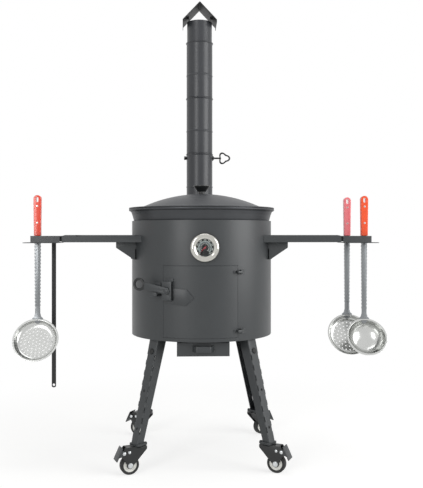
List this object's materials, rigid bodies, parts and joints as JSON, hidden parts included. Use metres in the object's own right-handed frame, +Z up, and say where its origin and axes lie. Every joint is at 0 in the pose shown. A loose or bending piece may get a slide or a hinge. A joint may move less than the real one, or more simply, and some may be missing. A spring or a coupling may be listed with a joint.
{
  "type": "cauldron stove",
  "caption": "Wheeled drum stove with a cauldron and lid set in its top, fire door, ash drawer, flue with damper and rain cap, folding-edge side shelves and hanging utensils.",
  "frame": {"origin": "on the floor, under the middle of the whole stove", "axes": "+Z up, fire door and gauge face -Y, chimney at +Y, +X to the viewer's right"},
  "size_m": [1.0222, 0.5238, 1.377],
  "materials": {
    "coated_steel": "satin powder coat, dark grey",
    "coated_pipe": "satin heat-proof coat, dark grey",
    "black_steel": "satin black",
    "cast_iron": "dark cast iron, slightly rough",
    "chromed_steel": "polished",
    "stainless_steel": "polished stainless steel",
    "dial_black": "matt black print",
    "needle_red": "matt red",
    "clear_glass": "clear",
    "wheel_black": "black, with a white ring",
    "grip_red": "glossy red",
    "grip_pink": "glossy pink-red",
    "grip_orange": "glossy orange-red"
  },
  "bodies": {
    "stove": {"drum_shell": "coated_steel", "drum_base": "coated_steel", "support_ring": "coated_steel", "fire_grate": "cast_iron", "flue_stub": "coated_pipe", "gauge_case": "chromed_steel", "gauge_dial": "dial_black", "gauge_glass": "clear_glass", "gauge_nut": "chromed_steel", "hinge_post_upper": "coated_steel", "hinge_post_lower": "coated_steel", "latch_keeper": "coated_steel", "drawer_sleeve": "coated_steel", "leg_front_left": "coated_steel", "leg_front_right": "coated_steel", "leg_rear_left": "coated_steel", "leg_rear_right": "coated_steel", "shelf_left": "coated_steel", "utensil_rack_left": "coated_steel", "shelf_bracket_left": "coated_steel", "shelf_right": "coated_steel", "utensil_rack_right": "coated_steel", "shelf_bracket_right": "coated_steel"},
    "fire_door": {"fire_door": "coated_steel", "latch_plate": "coated_steel", "latch_pivot": "coated_steel"},
    "latch": {"latch_lever": "coated_steel"},
    "ash_drawer": {"ash_drawer": "coated_steel", "drawer_handle": "coated_steel"},
    "gauge_needle": {"gauge_needle": "needle_red"},
    "cauldron": {"cauldron": "cast_iron"},
    "lid": {"lid": "cast_iron", "lid_knob": "black_steel"},
    "chimney_lower": {"chimney_pipe_lower": "coated_pipe"},
    "chimney_middle": {"chimney_pipe_middle": "coated_pipe"},
    "chimney_upper": {"chimney_pipe_upper": "coated_pipe"},
    "rain_cap": {"rain_cap": "coated_pipe"},
    "damper": {"damper_plate": "black_steel", "damper_rod": "black_steel"},
    "skimmer_left": {"skimmer_left_steel": "stainless_steel", "skimmer_left_grip": "grip_red"},
    "skimmer_right": {"skimmer_right_steel": "stainless_steel", "skimmer_right_grip": "grip_pink"},
    "ladle": {"ladle_steel": "stainless_steel", "ladle_grip": "grip_orange"},
    "poker": {"poker": "black_steel"},
    "caster_front_left": {"caster_fork_front_left": "black_steel"},
    "wheel_front_left": {"caster_wheel_front_left": "wheel_black"},
    "brake_front_left": {"brake_pedal_front_left": "coated_steel"},
    "caster_front_right": {"caster_fork_front_right": "black_steel"},
    "wheel_front_right": {"caster_wheel_front_right": "wheel_black"},
    "brake_front_right": {"brake_pedal_front_right": "coated_steel"},
    "caster_rear_left": {"caster_fork_rear_left": "black_steel"},
    "wheel_rear_left": {"caster_wheel_rear_left": "wheel_black"},
    "brake_rear_left": {"brake_pedal_rear_left": "coated_steel"},
    "caster_rear_right": {"caster_fork_rear_right": "black_steel"},
    "wheel_rear_right": {"caster_wheel_rear_right": "wheel_black"},
    "brake_rear_right": {"brake_pedal_rear_right": "coated_steel"}
  },
  "joints": [
    {"name": "fire_door_hinge", "type": "hinge", "parent": "stove", "child": "fire_door", "pos_m": [0.10391, -0.22801, 0.452], "axis": [0, 0, 1], "range_deg": [0, 110]},
    {"name": "latch_pivot", "type": "hinge", "parent": "fire_door", "child": "latch", "pos_m": [-0.09465, -0.23966, 0.481], "axis": [0.454, 0.891, 0], "range_deg": [-11, 60]},
    {"name": "ash_drawer_slide", "type": "slide", "parent": "stove", "child": "ash_drawer", "axis": [0, -1, 0], "range_m": [0, 0.2]},
    {"name": "damper_turn", "type": "hinge", "parent": "chimney_lower", "child": "damper", "pos_m": [0.00295, 0.2139, 0.879], "axis": [1, 0, 0], "range_deg": [0, 90]},
    {"name": "gauge_needle_turn", "type": "hinge", "parent": "stove", "child": "gauge_needle", "pos_m": [0.00606, -0.25517, 0.595], "axis": [-0.015, 0.9999, 0], "range_deg": [0, 270]},
    {"name": "cauldron_lift", "type": "slide", "parent": "stove", "child": "cauldron", "axis": [0, 0, 1], "range_m": [0, 0.25]},
    {"name": "lid_lift", "type": "slide", "parent": "cauldron", "child": "lid", "axis": [0, 0, 1], "range_m": [0, 0.2]},
    {"name": "chimney_lower_lift", "type": "slide", "parent": "stove", "child": "chimney_lower", "axis": [0, 0, 1], "range_m": [0, 0.06]},
    {"name": "chimney_middle_lift", "type": "slide", "parent": "chimney_lower", "child": "chimney_middle", "axis": [0, 0, 1], "range_m": [0, 0.06]},
    {"name": "chimney_upper_lift", "type": "slide", "parent": "chimney_middle", "child": "chimney_upper", "axis": [0, 0, 1], "range_m": [0, 0.06]},
    {"name": "rain_cap_lift", "type": "slide", "parent": "chimney_upper", "child": "rain_cap", "axis": [0, 0, 1], "range_m": [0, 0.05]},
    {"name": "skimmer_left_lift", "type": "slide", "parent": "stove", "child": "skimmer_left", "axis": [0, 0, 1], "range_m": [0, 0.15]},
    {"name": "skimmer_right_lift", "type": "slide", "parent": "stove", "child": "skimmer_right", "axis": [0, 0, 1], "range_m": [0, 0.15]},
    {"name": "ladle_lift", "type": "slide", "parent": "stove", "child": "ladle", "axis": [0, 0, 1], "range_m": [0, 0.15]},
    {"name": "poker_lift", "type": "slide", "parent": "stove", "child": "poker", "axis": [0, 0, 1], "range_m": [0, 0.01]},
    {"name": "caster_front_left_swivel", "type": "hinge", "parent": "stove", "child": "caster_front_left", "pos_m": [-0.16852, -0.21957, 0.073], "axis": [0, 0, 1], "continuous": true},
    {"name": "wheel_front_left_spin", "type": "hinge", "parent": "caster_front_left", "child": "wheel_front_left", "pos_m": [-0.19186, -0.22853, 0.025], "axis": [0.3584, -0.9336, 0], "continuous": true},
    {"name": "brake_front_left_press", "type": "hinge", "parent": "caster_front_left", "child": "brake_front_left", "pos_m": [-0.2082, -0.2348, 0.059], "axis": [0.3584, -0.9336, 0], "range_deg": [0, 15]},
    {"name": "caster_front_right_swivel", "type": "hinge", "parent": "stove", "child": "caster_front_right", "pos_m": [0.17443, -0.21957, 0.073], "axis": [0, 0, 1], "continuous": true},
    {"name": "wheel_front_right_spin", "type": "hinge", "parent": "caster_front_right", "child": "wheel_front_right", "pos_m": [0.1969, -0.23053, 0.025], "axis": [0.4384, 0.8988, 0], "continuous": true},
    {"name": "brake_front_right_press", "type": "hinge", "parent": "caster_front_right", "child": "brake_front_right", "pos_m": [0.21263, -0.2382, 0.059], "axis": [0.4384, 0.8988, 0], "range_deg": [0, 15]},
    {"name": "caster_rear_left_swivel", "type": "hinge", "parent": "stove", "child": "caster_rear_left", "pos_m": [-0.16852, 0.12337, 0.073], "axis": [0, 0, 1], "continuous": true},
    {"name": "wheel_rear_left_spin", "type": "hinge", "parent": "caster_rear_left", "child": "wheel_rear_left", "pos_m": [-0.19059, 0.13511, 0.025], "axis": [-0.4695, -0.8829, 0], "continuous": true},
    {"name": "brake_rear_left_press", "type": "hinge", "parent": "caster_rear_left", "child": "brake_rear_left", "pos_m": [-0.20604, 0.14333, 0.059], "axis": [-0.4695, -0.8829, 0], "range_deg": [0, 15]},
    {"name": "caster_rear_right_swivel", "type": "hinge", "parent": "stove", "child": "caster_rear_right", "pos_m": [0.17443, 0.12337, 0.073], "axis": [0, 0, 1], "continuous": true},
    {"name": "wheel_rear_right_spin", "type": "hinge", "parent": "caster_rear_right", "child": "wheel_rear_right", "pos_m": [0.19608, 0.13587, 0.025], "axis": [-0.5, 0.866, 0], "continuous": true},
    {"name": "brake_rear_right_press", "type": "hinge", "parent": "caster_rear_right", "child": "brake_rear_right", "pos_m": [0.21123, 0.14463, 0.059], "axis": [-0.5, 0.866, 0], "range_deg": [0, 15]}
  ]
}
